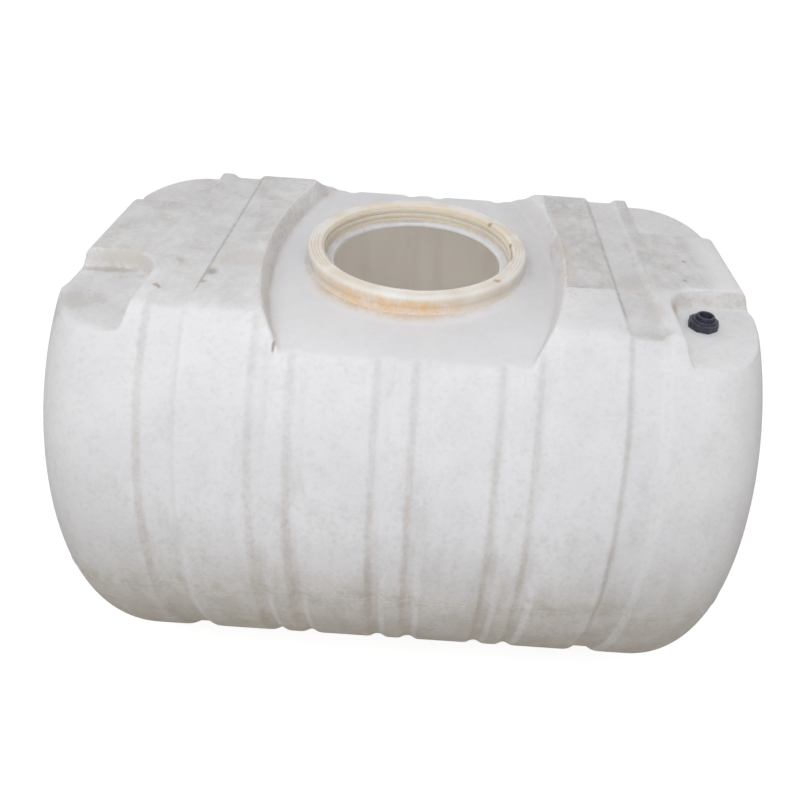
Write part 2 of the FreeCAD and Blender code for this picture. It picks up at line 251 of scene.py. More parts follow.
# manhole recess, its bowed sides from two cones
recess = {"width": 0.600, "sideRadius": 0.980, "depth": 0.048, "draft": 0.015, "above": 0.100, "sides": 360}
recessFloor = deckHeight - recess["depth"]
recessRise = recess["depth"] + recess["above"]
coneTop = recess["sideRadius"] + recess["draft"] * recess["above"] / recess["depth"]
cones = []
for side in (-1, 1):
    deselectAll()
    bpy.ops.mesh.primitive_cone_add(
        vertices=recess["sides"], radius1=recess["sideRadius"] - recess["draft"], radius2=coneTop, depth=recessRise,
        location=(side * (recess["sideRadius"] - recess["width"] / 2), 0, recessFloor + recessRise / 2))
    cones.append(named("recessCutter"))
carve(cones[0], cones[1], operation="INTERSECT")
carve(skin, cones[0])

# stepped corners, each wall leaning outwards
steps = {"innerX": 0.482, "riserY": 0.120, "cornerRound": 0.070, "arcSteps": 8, "depth": 0.035, "draft": 0.011,
         "rise": 0.135, "pastX": 0.9, "pastY": 0.7}
stepFloor = deckHeight - steps["depth"]
for sx in (-1, 1):
    for sy in (-1, 1):
        x0, y0, r = steps["innerX"] + steps["draft"], steps["riserY"] + steps["draft"], steps["cornerRound"]
        arc = [(x0 + r - r * math.cos(a), y0 + r - r * math.sin(a)) for a in quarterTurn(steps["arcSteps"])]
        plan = [(x0, steps["pastY"])] + arc + [(steps["pastX"], y0), (steps["pastX"], steps["pastY"])]
        corner = [(sx * x, sy * y, stepFloor) for x, y in plan]
        lean = steps["draft"] / steps["depth"] * steps["rise"]
        carve(skin, drawnOut("stepCutter", corner, (-sx * lean, -sy * lean, steps["rise"])))

# deck ends, set back and rounded over above the dished ends
setBack = {
    "profile": [(0.600, 0.050), (0.612, 0.000), (0.622, -0.0012), (0.630, -0.005), (0.6355, -0.012),
                (0.639, -0.022), (0.645, -0.040), (0.653, -0.060), (0.668, -0.078), (0.800, -0.085), (0.800, 0.050)],
    "slide": 0.04,  # how far out it fades
    "left": {"shift": 0.0, "reach": 0.340, "full": 0.195},
    "right": {"shift": 0.010, "reach": 0.300, "full": 0.130},
}
for sx, end in ((-1, setBack["left"]), (1, setBack["right"])):
    slide, fade = sx * setBack["slide"], end["reach"] - end["full"]
    start = [(sx * (px + end["shift"]) + slide, -end["reach"], deckHeight + pz) for px, pz in setBack["profile"]]
    carve(skin, drawnOut("endCutter", start, (-slide, fade, 0), (0, 2 * end["full"], 0), (slide, fade, 0)))

# raised neck inside the manhole ring
hatch = {"radius": 0.173, "neckRadius": 0.1945, "neckRise": 0.011, "neckSunk": 0.006, "edgeRound": 0.004,
         "edgeSteps": 4, "cutFrom": 0.80, "cutTo": 0.95}
neckTop = recessFloor + hatch["neckRise"]
neckBoss = cylinder("neckBoss", hatch["neckRadius"], recessFloor - hatch["neckSunk"], neckTop)
carve(skin, neckBoss, operation="UNION")
swell = {"foot": 0.246, "top": 0.229, "inner": 0.218, "rise": 0.009, "sunk": 0.004}  # the floor rises round the ring
swellFoot, swellTop = recessFloor - swell["sunk"], recessFloor + swell["rise"]
slope = [(swell["inner"], swellFoot), (swell["foot"], swellFoot), (swell["foot"], recessFloor),
         (swell["top"], swellTop), (swell["inner"], swellTop)]
carve(skin, turnedUpright("ringSwell", slope), operation="UNION")
print("deck cut", triangleCount(skin))

# soft moulded edges all over
finishModifier(skin, "REMESH", mode="VOXEL", voxel_size=tank["voxel"])
finishModifier(skin, "SMOOTH", factor=0.5, iterations=tank["smoothSteps"])
print("remeshed", triangleCount(skin))
finishModifier(skin, "DECIMATE", ratio=tank["triangles"] / triangleCount(skin))

# parting line: a thin bead where the mould halves met
partingLine = {"height": 0.432, "bead": 0.0010, "merge": 0.003}
bead = copyOf(skin, "partingLine")
editAll(bead)
bpy.ops.mesh.bisect(plane_co=(0, 0, partingLine["height"]), plane_no=(0, 0, 1))
bpy.ops.mesh.select_all(action="INVERT")
bpy.ops.mesh.delete(type="VERT")
bpy.ops.mesh.select_all(action="SELECT")
bpy.ops.mesh.remove_doubles(threshold=partingLine["merge"])
objectMode()
bpy.ops.object.convert(target="CURVE")
bead.data.bevel_depth = partingLine["bead"]
bead.data.bevel_resolution = 1
bpy.ops.object.convert(target="MESH")
smoothShaded(bead)
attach(bead, "root")
print("parting line", triangleCount(bead), [round(v, 3) for v in bead.dimensions])

# hollow: an inside one wall thickness in, then the openings
inside = copyOf(skin, "tankInside")
editAll(inside)
bpy.ops.transform.shrink_fatten(value=-tank["wall"])
objectMode()
finishModifier(inside, "REMESH", mode="VOXEL", voxel_size=tank["insideVoxel"])
finishModifier(inside, "DECIMATE", ratio=tank["insideTriangles"] / triangleCount(inside))
for piece in (skin, inside):  # second slot for the inner face of the wall
    piece.data.materials.append(None)
    piece.data.materials.append(None)
for face in inside.data.polygons:
    face.material_index = 1
carve(skin, inside)
r, e = hatch["radius"], hatch["edgeRound"]
flare = [(r + e - e * math.cos(a), neckTop - e + e * math.sin(a)) for a in quarterTurn(hatch["edgeSteps"])]
mouth = [(0, hatch["cutFrom"]), (r, hatch["cutFrom"])] + flare + [(r + e, hatch["cutTo"]), (0, hatch["cutTo"])]
carve(skin, turnedUpright("hatchCutter", mouth))
fitting = {"place": (0.546, -0.201), "shank": 0.0175, "holeClear": 0.0005, "cutFrom": 0.83, "cutTo": 0.93}
carve(skin, cylinder("inletCutter", fitting["shank"] + fitting["holeClear"], fitting["cutFrom"], fitting["cutTo"],
                     place=fitting["place"], sides=48))
smoothShaded(skin, 50)
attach(skin, "root")
shellNodes = [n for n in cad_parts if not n.startswith(("manhole_ring", "inlet"))]
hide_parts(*shellNodes)
print("skin hollowed", triangleCount(skin), [round(v, 3) for v in skin.dimensions])
print("skin stands for", len(shellNodes), "nodes")

# manhole ring: flared foot, rounded collar, thread inside
ring = {"wall": 0.1930, "neck": 0.2240, "collar": 0.2250, "foot": 0.2268, "height": 0.046,
        "crest": 0.1911, "pitch": 0.0112, "turns": 2, "threadStart": 0.0160, "threadSteps": 160,
        "lines": (0.2032, 0.2095, 0.2158), "lineHalf": 0.0016, "lineRim": 0.0459, "lineFloor": 0.0447}
ringProfile = [
    (ring["wall"], -0.001), (ring["foot"], -0.001), (0.2258, 0.0012), (0.2250, 0.0040), (0.2246, 0.0080),
    (0.2243, 0.0130), (ring["neck"], 0.0190), (ring["neck"], 0.0220), (0.2243, 0.0236), (0.2247, 0.0250),
    (ring["collar"], 0.0266), (ring["collar"], 0.0370), (0.2245, 0.0402), (0.2230, 0.0430),
    (0.2205, 0.0449), (0.2178, 0.0457)]
for r in reversed(ring["lines"]):  # shallow turned lines on the top face
    ringProfile += [(r + ring["lineHalf"], ring["lineRim"]), (r, ring["lineFloor"]),
                    (r - ring["lineHalf"], ring["lineRim"])]
ringProfile += [(0.2000, ring["height"]), (0.1976, 0.0454), (0.1948, 0.0436), (ring["wall"], 0.0405)]
manholeRing = turnedUpright("manholeRing", [(r, recessFloor + z) for r, z in ringProfile])
foot = recessFloor + ring["threadStart"]
ridge = [(ring["wall"] + 0.002, 0.0054), (ring["crest"] + 0.0006, 0.0044),
         (ring["crest"], 0.0026)]  # radius and half width
section = [(r, -half) for r, half in ridge] + [(r, half) for r, half in reversed(ridge)]
thread = traced("ringThread", [(0, -r, foot + z) for r, z in section + section[:1]])
bpy.ops.mesh.remove_doubles(threshold=weld)
objectMode()
finishModifier(thread, "SCREW", axis="Z", angle=2 * math.pi, screw_offset=ring["pitch"],
               iterations=ring["turns"], steps=ring["threadSteps"], render_steps=ring["threadSteps"],
               use_merge_vertices=True, merge_threshold=weld)
editAll(thread)
bpy.ops.mesh.fill_holes(sides=0)
bpy.ops.mesh.select_all(action="SELECT")
bpy.ops.mesh.normals_make_consistent(inside=False)
objectMode()
activate(manholeRing)
thread.select_set(True)
bpy.ops.object.join()
smoothShaded(manholeRing, 40)
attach(manholeRing, "root")
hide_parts("manhole_ring")
print("ring turned", triangleCount(manholeRing), [round(v, 3) for v in manholeRing.dimensions])

# inlet fitting: flange inside, eight-sided nut and ribbed socket above the wall
fitting.update({"flats": 0.052, "turn": -13.3, "nut": 0.0135, "collar": 0.0218, "collarTop": 0.017,
                "nutClear": 0.0001, "nutMerge": 0.00005, "socket": 0.0160, "bore": 0.0123, "tube": 0.010, "ribs": 24,
                "ribRadius": 0.0009, "ribOut": 0.0002, "ribFoot": 0.0160, "ribTop": 0.0228})
fx, fy = fitting["place"]
bodyProfile = [
    (fitting["tube"], -0.018), (0.0270, -0.018), (0.0280, -0.017), (0.0280, -0.010),
    (fitting["shank"], -0.010), (fitting["shank"], 0.0160), (fitting["socket"], 0.0172),
    (fitting["socket"], 0.0232), (0.0156, 0.0240),
    (0.0150, 0.0243), (0.0134, 0.0243), (0.0127, 0.0240), (fitting["bore"], 0.0231),
    (fitting["bore"], 0.0040), (fitting["tube"], 0.0040)]
inletBody = turnedUpright("inletBody", [(r, stepFloor + z) for r, z in bodyProfile],
                          place=fitting["place"], steps=72)
ribs = []
ribCircle = fitting["socket"] + fitting["ribOut"]
for i in range(fitting["ribs"]):  # upright grips round the socket
    a = 2 * math.pi * i / fitting["ribs"]
    at = (fx + ribCircle * math.cos(a), fy + ribCircle * math.sin(a))
    ribs.append(cylinder("grip", fitting["ribRadius"], stepFloor + fitting["ribFoot"], stepFloor + fitting["ribTop"],
                         place=at, sides=10))
activate(inletBody)
for rib in ribs:
    rib.select_set(True)
bpy.ops.object.join()
smoothShaded(inletBody, 35)
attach(inletBody, "root")
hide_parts("inlet_body")

nut = cylinder("inletNut", fitting["flats"] / 2 / math.cos(math.pi / 8), stepFloor, stepFloor + fitting["nut"],
               place=fitting["place"], sides=8, turn=math.pi / 8 + math.radians(fitting["turn"]))
coneProfile = [(0, -0.01), (0.0400, -0.01), (0.0400, 0.0072), (0.0236, 0.0140), (0, 0.0140)]
collarProfile = [(0, 0.006), (fitting["collar"], 0.006), (fitting["collar"], 0.0158), (0.0212, 0.0168),
                 (0.0202, fitting["collarTop"]), (0, fitting["collarTop"])]
for name, profile, operation in (("nutCone", coneProfile, "INTERSECT"), ("nutCollar", collarProfile, "UNION")):
    form = turnedUpright(name, [(r, stepFloor + z) for r, z in profile], place=fitting["place"], steps=96)
    carve(nut, form, operation=operation)
carve(nut, cylinder("nutBore", fitting["shank"] + fitting["nutClear"], stepFloor - 0.02, stepFloor + 0.03,
                    place=fitting["place"], sides=72))
editAll(nut)  # clear slivers left by the cuts
bpy.ops.mesh.remove_doubles(threshold=fitting["nutMerge"])
bpy.ops.mesh.dissolve_degenerate(threshold=2 * weld)
objectMode()
smoothShaded(nut, 30)
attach(nut, "root")
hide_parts("inlet_nut")
print("fitting made", triangleCount(inletBody), triangleCount(nut))


# materials
def linear(code):
    parts = [int(code[i:i + 2], 16) / 255 for i in (1, 3, 5)]
    return tuple(c / 12.92 if c <= 0.04045 else ((c + 0.055) / 1.055) ** 2.4 for c in parts) + (1,)


def addNode(tree, kind, links=None, **settings):
    node = tree.nodes.new("ShaderNode" + kind)
    for key, value in settings.items():
        setattr(node, key, value)
    for socket, value in (links or {}).items():
        if isinstance(value, bpy.types.NodeSocket):
            tree.links.new(value, node.inputs[socket])
        else:
            node.inputs[socket].default_value = value
    return node


def newMaterial(name):
    material = bpy.data.materials.new(name)
    material.use_nodes = True
    tree = material.node_tree
    return material, tree, tree.nodes["Principled BSDF"]


def maths(tree, operation, a, b=0.0):
    return addNode(tree, "Math", {0: a, 1: b}, operation=operation).outputs[0]


def times(tree, first, *others):
    for other in others:
        first = maths(tree, "MULTIPLY", first, other)
    return first


def eased(tree, value, low, high, start=0.0, end=1.0):  # soft step from low to high
    links = {"Value": value, "From Min": low, "From Max": high, "To Min": start, "To Max": end}
    return addNode(tree, "MapRange", links, interpolation_type="SMOOTHSTEP").outputs["Result"]


def within(tree, value, low, high, soft):
    rising = eased(tree, value, low - soft, low + soft)
    return times(tree, rising, eased(tree, value, high + soft, high - soft))


def rest(tree, amount):  # what is left of 1
    return maths(tree, "SUBTRACT", 1.0, amount)


def fromAxis(tree, x, y):
    return maths(tree, "SQRT", maths(tree, "ADD", times(tree, x, x), times(tree, y, y)))


def grain(tree, where, scale, detail=4.0, roughness=0.55, stretch=None):
    if stretch:
        where = addNode(tree, "Mapping", {"Vector": where, "Scale": stretch}).outputs[0]
    return addNode(tree, "TexNoise", {"Vector": where, "Scale": scale, "Detail": detail,
                                      "Roughness": roughness}).outputs["Fac"]


def blot(tree, where, centre, size, ragged, rough):  # soft-edged stain round a point
    away = addNode(tree, "VectorMath", {0: where, 1: centre}, operation="SUBTRACT").outputs[0]
    away = addNode(tree, "VectorMath", {0: away, 1: [1 / s for s in size]}, operation="MULTIPLY").outputs[0]
    away = addNode(tree, "VectorMath", {0: away}, operation="LENGTH").outputs["Value"]
    away = maths(tree, "ADD", away, times(tree, maths(tree, "SUBTRACT", rough, 0.5), ragged))
    return eased(tree, away, 1.0, 0.35)


def paint(tree, base, code, amount):
    colour = linear(code) if isinstance(code, str) else code
    base = linear(base) if isinstance(base, str) else base
    return addNode(tree, "Mix", {0: amount, 6: base, 7: colour}, data_type="RGBA").outputs[2]


def placeOf(tree):
    return addNode(tree, "TexCoord").outputs["Object"]


def split(tree, vector):
    return addNode(tree, "SeparateXYZ", {0: vector}).outputs


def facing(tree):
    return split(tree, addNode(tree, "NewGeometry").outputs["Normal"])


def finishSurface(tree, surface, colour, roughness, height, strength):
    tree.links.new(colour, surface.inputs["Base Color"])
    tree.links.new(roughness, surface.inputs["Roughness"])
    bump = addNode(tree, "Bump", {"Height": height, "Strength": strength, "Distance": 1.0})
    tree.links.new(bump.outputs["Normal"], surface.inputs["Normal"])


def letThrough(tree, surface, code, amount):  # part of the light passes through the wall
    through = addNode(tree, "BsdfTranslucent", {"Color": linear(code)})
    mixed = addNode(tree, "MixShader", {0: amount, 1: surface.outputs[0], 2: through.outputs[0]})
    tree.links.new(mixed.outputs[0], tree.nodes["Material Output"].inputs["Surface"])


# satin white polyethylene, a little light comes through it; dust on the deck, grime and painted shade towards the
# floor
moulded, tree, surface = newMaterial("polyethylene")
dustAt = {"lip": (0.443, 0.461), "plateau": (0.284, 0.386), "trough": (0.386, 0.452), "tongue": (0.452, 0.582),
          "rim": (0.454, 0.480)}
dustAmount = {"plateau": 0.60, "tongue": 0.52, "trough": 0.26, "elsewhere": 0.03}
shadeAndGrimeRise = {"low": (0.66, 0.14), "silt": (0.62, 0.10), "grit": (0.58, 0.24)}
where = placeOf(tree)
x, y, z = split(tree, where)
nx, _, nz = facing(tree)
soft = grain(tree, where, 5, detail=5)
patch = grain(tree, where, 16, detail=7, roughness=0.66)
fine = grain(tree, where, 110, detail=6, roughness=0.72)
speck = grain(tree, where, 330, detail=2)
streak = grain(tree, where, 11, detail=6, roughness=0.62, stretch=(3, 3, 0.6))
mottle = maths(tree, "ADD", times(tree, patch, 0.55), times(tree, fine, 0.45))
settled = grain(tree, where, 48, detail=8, roughness=0.74, stretch=(1.2, 0.75, 1.0))
spanX = maths(tree, "ABSOLUTE", x)
spanY = maths(tree, "ABSOLUTE", y)
leftSide = eased(tree, x, 0.05, -0.05)
rightSide = eased(tree, x, -0.05, 0.05)
barrelSide = eased(tree, spanY, 0.29, 0.32)
colour = paint(tree, "#F7F8FD", "#EFF0F6", eased(tree, soft, 0.35, 0.7))

# dust, heavier where rain does not run off
upward = eased(tree, nz, 0.82, 0.93)
channelLip = times(tree, within(tree, spanX, *dustAt["lip"], 0.003), eased(tree, z, 0.900, 0.906))
upper = times(tree, upward, eased(tree, z, stepFloor - 0.008, stepFloor - 0.004))
upper = maths(tree, "MAXIMUM", upper, times(tree, channelLip, eased(tree, x, -0.1, 0.1, 0.4, 0.5)))
leftDust = times(tree, leftSide, eased(tree, y, -0.20, 0.02, 0.26, 0.40))
leftDust = times(tree, leftDust, eased(tree, z, 0.908, 0.914, 0.75, 1.0))  # thinner in the channel
plateau = times(tree, within(tree, x, *dustAt["plateau"], 0.004), eased(tree, y, -0.152, -0.144))
trough = within(tree, x, *dustAt["trough"], 0.006)
ragged = maths(tree, "ADD", x, times(tree, maths(tree, "SUBTRACT", mottle, 0.5), 0.12))
tongue = times(tree, within(tree, ragged, *dustAt["tongue"], 0.020), eased(tree, y, 0.126, 0.112))
tongue = maths(tree, "MAXIMUM", tongue, within(tree, x, *dustAt["rim"], 0.003))
tongue = times(tree, tongue, eased(tree, y, -0.165, -0.10))
rightDust = dustAmount["elsewhere"]
for mask, amount in ((plateau, "plateau"), (tongue, "tongue"), (trough, "trough")):
    rightDust = maths(tree, "ADD", rightDust, times(tree, mask, dustAmount[amount]))
rightDust = times(tree, rightSide, rightDust)
recessed = times(tree, upward, within(tree, z, recessFloor - 0.006, recessFloor + 0.006, 0.003))
# the recess floor right of the ring darkened with the dust tone: dust with painted shade
recessShadeAndDust = within(tree, z, recessFloor - 0.010, recessFloor + 0.014, 0.010)
recessShadeAndDust = times(tree, recessShadeAndDust, eased(tree, nz, 0.45, 1.0), eased(tree, x, 0.15, 0.27), eased(tree, y, -0.28, -0.10))
lies = maths(tree, "ADD", times(tree, settled, 0.55), times(tree, mottle, 0.45))
uneven = maths(tree, "ADD", times(tree, lies, 0.6), times(tree, patch, 0.4))
dust = times(tree, upper, maths(tree, "ADD", leftDust, rightDust))
dust = times(tree, dust, eased(tree, uneven, 0.38, 0.60, 0.45, 1.30))
dustAndShadeTone = paint(tree, "#C4C7CC", "#B6B3AD", eased(tree, settled, 0.40, 0.64))
colour = paint(tree, colour, dustAndShadeTone, maths(tree, "MAXIMUM", dust, times(tree, recessShadeAndDust, 0.22)))
soil = eased(tree, grain(tree, where, 14, detail=9, roughness=0.74), 0.49, 0.63)  # darker patches on the left
soil = times(tree, soil, upper, leftSide, eased(tree, y, -0.25, -0.08, 0.10, 0.34))
colour = paint(tree, colour, "#A39D91", soil)

# painted shade with stains on the walls of the grooves and on the left wall of the recess, stains on the walls of
# the steps
onBarrel = times(tree, within(tree, x, -0.46, 0.46, 0.004), barrelSide)
# painted shade with a brown stain on the groove walls facing +X, away from the key light, stronger lower down
grooveShadeAndStain = times(tree, eased(tree, nx, 0.02, 0.50), onBarrel, eased(tree, z, 0.84, 0.42, 0.3, 1.0))
colour = paint(tree, colour, "#B7A78F", times(tree, grooveShadeAndStain, eased(tree, mottle, 0.36, 0.64, 0.08, 0.60)))
between = within(tree, z, recessFloor + 0.006, deckHeight - 0.003, 0.003)
steep = times(tree, eased(tree, nz, 0.90, 0.60), between, eased(tree, spanY, 0.33, 0.30))
# the left wall of the recess, facing away from the key light, painted darker and mottled: painted shade with dirt
hollowWall = times(tree, steep, within(tree, x, -0.32, -0.10, 0.01))
colour = paint(tree, colour, "#B5AFA4", times(tree, hollowWall, eased(tree, mottle, 0.36, 0.64, 0.0, 0.60)))
farWall = times(tree, steep, within(tree, x, 0.10, 0.32, 0.01))
riser = times(tree, steep, eased(tree, spanX, 0.47, 0.49))
colour = paint(tree, colour, "#BDB5A7", times(tree, riser, eased(tree, mottle, 0.40, 0.64, 0.05, 0.60)))
for centre, size, code, amount in (
        ((-0.500, -0.205, 0.895), (0.009, 0.010, 0.016), "#62594C", 0.75),
        ((-0.455, -0.244, 0.917), (0.010, 0.008, 0.016), "#80694A", 0.70),
        ((-0.373, -0.185, 0.917), (0.017, 0.020, 0.020), "#857357", 0.65),
        ((-0.378, -0.222, 0.917), (0.011, 0.010, 0.016), "#7C6A50", 0.65),
        ((-0.334, -0.132, 0.917), (0.070, 0.040, 0.030), "#B9AD98", 0.32),
        ((-0.445, -0.135, 0.917), (0.014, 0.016, 0.020), "#95836A", 0.50),
        ((-0.560, -0.140, 0.914), (0.095, 0.030, 0.030), "#B9AE9B", 0.50),
        ((-0.603, -0.255, 0.883), (0.055, 0.055, 0.030), "#A39C90", 0.40),
        ((-0.585, -0.140, 0.885), (0.085, 0.008, 0.008), "#968A77", 0.32),
        ((-0.2260, -0.355, 0.877), (0.0035, 0.018, 0.014), "#5F574E", 0.75),
        ((0.296, 0.010, 0.917), (0.022, 0.160, 0.030), "#BCA283", 0.40),
        ((0.425, -0.095, 0.912), (0.040, 0.050, 0.030), "#B5AE9E", 0.40),
        ((0.450, -0.190, 0.914), (0.024, 0.080, 0.030), "#BAB2A1", 0.35),
        ((0.432, -0.290, 0.912), (0.045, 0.026, 0.030), "#B2B0AA", 0.50),
        ((0.547, -0.008, 0.917), (0.006, 0.006, 0.010), "#7E766A", 0.70),
        ((0.530, -0.091, 0.917), (0.006, 0.006, 0.010), "#857B6B", 0.70),
        ((0.565, -0.150, 0.905), (0.090, 0.020, 0.012), "#C8B799", 0.55),
        ((0.500, -0.170, 0.895), (0.014, 0.024, 0.020), "#C0AE8F", 0.55)):
    torn = 2.6 if max(size[:2]) < 0.026 else 7.0
    colour = paint(tree, colour, code, times(tree, blot(tree, where, centre, size, torn, mottle), amount))
# dark broken lines along the inner edges of the strap channels on the deck: painted shade with some dirt
rims = maths(tree, "ADD", within(tree, x, -0.3885, -0.3805, 0.002), within(tree, x, 0.3845, 0.3930, 0.002))
edge = times(tree, rims, within(tree, y, -0.25, 0.28, 0.03), eased(tree, z, 0.905, 0.910))
colour = paint(tree, colour, "#8C867C", times(tree, edge, eased(tree, fine, 0.35, 0.6, 0.15, 0.7)))
tide = times(tree, within(tree, y, -0.1495, -0.1435, 0.002), within(tree, x, 0.286, 0.326, 0.008), upper)
colour = paint(tree, colour, "#8F887C", times(tree, tide, 0.45))

# darker and warmer towards the floor (painted shade with grime), brown runs down the grooves, the parting line and
# specks
# painted highlight: groove walls facing -X, towards the key light, keep only part of the darkening below, so they
# read brighter
sparedAsHighlight = rest(tree, times(tree, eased(tree, nx, -0.12, -0.42), onBarrel, 0.55))
innerPair, outerPairs = within(tree, spanX, 0.016, 0.052, 0.012), within(tree, spanX, 0.163, 0.265, 0.014)
gutters = maths(tree, "ADD", innerPair, outerPairs)
runs = times(tree, gutters, barrelSide, eased(tree, z, 0.84, 0.48), eased(tree, streak, 0.42, 0.70))
colour = paint(tree, colour, "#BDA98A", times(tree, runs, sparedAsHighlight, 0.22))
# darker and warmer towards the floor: painted shade with grime
low = times(tree, eased(tree, z, *shadeAndGrimeRise["low"]), eased(tree, streak, 0.25, 0.75, 0.70, 1.0))
colour = paint(tree, colour, "#B1A896", times(tree, low, sparedAsHighlight, 0.92))
# the ends and lower sides painted a flat grey: painted shade
flankShade = times(tree, eased(tree, spanX, 0.28, 0.62), eased(tree, z, 0.93, 0.46, 0.30, 1.0), rest(tree, upward))
colour = paint(tree, colour, "#A9A9A6", times(tree, flankShade, 0.27))
spread = maths(tree, "ADD", times(tree, patch, 0.3), times(tree, lies, 0.7))
silt = times(tree, eased(tree, z, *shadeAndGrimeRise["silt"]), eased(tree, spread, 0.40, 0.62))
colour = paint(tree, colour, "#998869", times(tree, silt, sparedAsHighlight, 0.70))
grit = times(tree, eased(tree, z, *shadeAndGrimeRise["grit"]), eased(tree, fine, 0.50, 0.66), sparedAsHighlight)
colour = paint(tree, colour, "#8B7F6A", times(tree, grit, 0.30))
seam = partingLine["height"]
line = within(tree, z, seam - 0.0018, seam + 0.0018, 0.0012)
line = times(tree, line, eased(tree, streak, 0.36, 0.60, 0.25, 0.8))
band = times(tree, within(tree, z, seam - 0.02, seam + 0.03, 0.02), eased(tree, spread, 0.46, 0.62))
colour = paint(tree, colour, "#AC9A7E", times(tree, maths(tree, "MAXIMUM", line, band), 0.46))
cloud = maths(tree, "ADD", times(tree, mottle, 0.6), times(tree, streak, 0.4))
cloud = times(tree, eased(tree, cloud, 0.44, 0.66), eased(tree, z, 0.85, 0.50, 0.16, 0.34))
# painted light: the recess floor and its right wall keep less of the grey mottle and freckles, so they read brighter
lightenedRecess = rest(tree, times(tree, maths(tree, "MAXIMUM", recessed, farWall), 0.55))
colour = paint(tree, colour, "#AFAFAF", times(tree, cloud, lightenedRecess))
freckle = times(tree, eased(tree, fine, 0.48, 0.72), eased(tree, z, 0.90, 0.40, 0.16, 0.24), lightenedRecess)
colour = paint(tree, colour, "#A2A2A2", freckle)
colour = paint(tree, colour, "#77716A", times(tree, eased(tree, speck, 0.72, 0.80), 0.12))
fromMiddle = maths(tree, "ADD", fromAxis(tree, x, y), times(tree, mottle, 0.03))  # stain washed off the ring
halo = times(tree, eased(tree, fromMiddle, 0.266, 0.240), eased(tree, z, 0.895, 0.885), eased(tree, nz, 0.5, 0.8))
halo = times(tree, halo, eased(tree, y, -0.05, -0.18), eased(tree, x, 0.14, -0.02, 0.2, 1.0))
colour = paint(tree, colour, "#D9BC92", times(tree, halo, eased(tree, mottle, 0.40, 0.60, 0.25, 0.85)))
surface.inputs["Specular IOR Level"].default_value = 0.35
relief = maths(tree, "ADD", times(tree, fine, 0.0006), times(tree, soft, 0.004))
finishSurface(tree, surface, colour, eased(tree, mottle, 0.3, 0.7, 0.42, 0.58), relief, 0.6)
letThrough(tree, surface, "#F6F5F3", 0.41)

# the same plastic seen from inside the tank, warm with the light that comes through the wall
lining, tree, surface = newMaterial("polyethyleneInside")
where = placeOf(tree)
film = grain(tree, where, 7, detail=6, roughness=0.6, stretch=(3, 3, 0.4))
colour = paint(tree, "#EBE6DF", "#E0D9D0", eased(tree, film, 0.35, 0.7))
surface.inputs["Specular IOR Level"].default_value = 0.2
finishSurface(tree, surface, colour, eased(tree, film, 0.3, 0.7, 0.5, 0.65), times(tree, film, 0.002), 0.5)
letThrough(tree, surface, "#F5F0E9", 0.78)

# aged cream plastic, orange stain round the front, yellow in the thread; painted shade at the foot, painted light in
# the bore
cream, tree, surface = newMaterial("creamPlastic")
where = placeOf(tree)
x, y, z = split(tree, where)
up = maths(tree, "SUBTRACT", z, recessFloor)  # height above the floor of the recess
soft = grain(tree, where, 14, detail=5)
patch = grain(tree, where, 45, detail=7, roughness=0.7)
fine = grain(tree, where, 170, detail=5, roughness=0.7)
mottle = maths(tree, "ADD", times(tree, patch, 0.6), times(tree, fine, 0.4))
out = fromAxis(tree, x, y)
colour = paint(tree, "#DAD6D2", "#D1CAC1", eased(tree, soft, 0.35, 0.65))
aged = times(tree, eased(tree, mottle, 0.48, 0.68), eased(tree, x, 0.10, -0.16), 0.4)
colour = paint(tree, colour, "#DDC89E", aged)
outer = eased(tree, out, 0.2195, 0.2225)
offCentre = maths(tree, "ABSOLUTE", maths(tree, "ADD", x, 0.03))
front = times(tree, eased(tree, y, -0.02, -0.19), eased(tree, offCentre, 0.17, 0.04, 0.30, 1.0))
behind = times(tree, outer, rest(tree, front), eased(tree, x, 0.12, -0.12, 0.15, 0.3))
colour = paint(tree, colour, "#D8C3A2", times(tree, behind, eased(tree, mottle, 0.42, 0.65)))
# lower collar plain cream and its foot painted grey: painted shade where the ring meets the recess floor
colour = paint(tree, colour, "#DEDAD5", times(tree, outer, eased(tree, up, 0.022, 0.008)))
colour = paint(tree, colour, "#C9C5BF", times(tree, outer, eased(tree, up, 0.008, 0.001), 0.8))
orange = times(tree, front, outer, within(tree, up, 0.007, 0.038, 0.006))
colour = paint(tree, colour, "#DFB47E", times(tree, orange, eased(tree, mottle, 0.37, 0.63, 0.18, 0.98)))
for r in ring["lines"]:  # yellow dirt held in the turned lines
    held = times(tree, within(tree, out, r - 0.0008, r + 0.0008, 0.0006), eased(tree, soft, 0.40, 0.62))
    colour = paint(tree, colour, "#CDB27C", times(tree, held, eased(tree, up, 0.040, 0.043), 0.6))
# painted light: the inside of the bore painted lighter, against the shade inside the ring
bore = eased(tree, out, 0.1990, 0.1955)
colour = paint(tree, colour, "#E8E1D3", times(tree, bore, 0.70))
grubby = maths(tree, "MAXIMUM", eased(tree, y, 0.02, 0.14), times(tree, eased(tree, x, -0.10, -0.17), 0.7))
grubby = times(tree, grubby, bore, eased(tree, mottle, 0.34, 0.64, 0.45, 0.80))
colour = paint(tree, colour, "#C6BCAE", grubby)
roots = times(tree, eased(tree, out, 0.1914, 0.1926), eased(tree, out, 0.197, 0.1945))
colour = paint(tree, colour, "#DBC8A8", times(tree, roots, eased(tree, mottle, 0.34, 0.60, 0.10, 0.65)))
for centre, size, code, amount in (
        ((0.188, 0.020, 0.914), (0.010, 0.014, 0.010), "#6A4A2A", 0.75),
        ((0.192, -0.020, 0.914), (0.006, 0.050, 0.008), "#8A6A44", 0.55),
        ((0.160, -0.140, 0.915), (0.010, 0.008, 0.010), "#A8793E", 0.70),
        ((0.150, 0.120, 0.914), (0.012, 0.008, 0.010), "#7A5A38", 0.60)):
    colour = paint(tree, colour, code, times(tree, blot(tree, where, centre, size, 1.8, mottle), amount))
surface.inputs["Specular IOR Level"].default_value = 0.35
